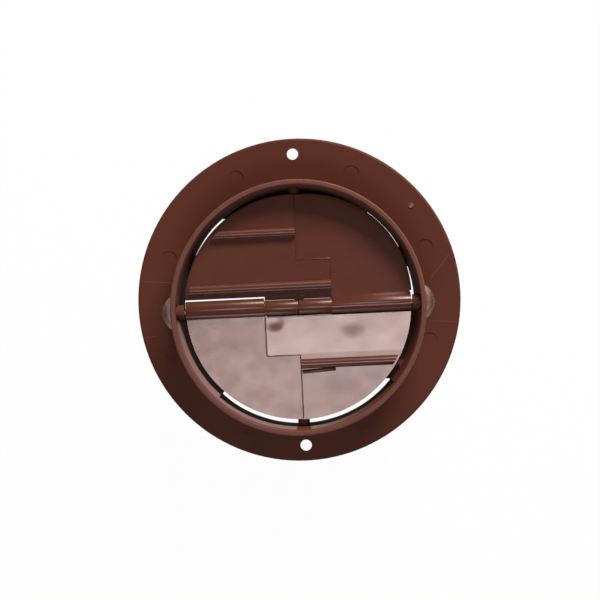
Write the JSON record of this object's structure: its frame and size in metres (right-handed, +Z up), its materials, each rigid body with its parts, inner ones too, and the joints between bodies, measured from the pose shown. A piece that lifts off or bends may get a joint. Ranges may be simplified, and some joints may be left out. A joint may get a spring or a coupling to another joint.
{
  "type": "marine vent grille",
  "caption": "Round louvred vent with a flat screw-on flange, a duct collar and two butterfly flaps on one hinge pin that close by their own weight.",
  "frame": {"origin": "centre of the front face, which is the face away from the duct", "axes": "+Z up the collar towards the duct, X along the flaps' hinge pin, +Y towards the upper flap"},
  "size_m": [0.13, 0.13, 0.04],
  "materials": {
    "body_plastic": "satin moulded, reddish brown",
    "flap_plastic": "polished moulded, reddish brown",
    "pin_steel": "drawn wire",
    "cap_clear": "cloudy translucent"
  },
  "bodies": {
    "vent": {"vent_body": "body_plastic", "hinge_pin": "pin_steel", "left_pin_cap": "cap_clear", "right_pin_cap": "cap_clear"},
    "upper_flap": {"upper_flap": "flap_plastic"},
    "lower_flap": {"lower_flap": "flap_plastic"}
  },
  "joints": [
    {"name": "upper_flap_hinge", "type": "hinge", "parent": "vent", "child": "upper_flap", "pos_m": [0, -0.00255, 0.0344], "axis": [1, 0, 0], "range_deg": [0, 72]},
    {"name": "lower_flap_hinge", "type": "hinge", "parent": "vent", "child": "lower_flap", "pos_m": [0, -0.00255, 0.0344], "axis": [-1, 0, 0], "range_deg": [0, 72]}
  ]
}
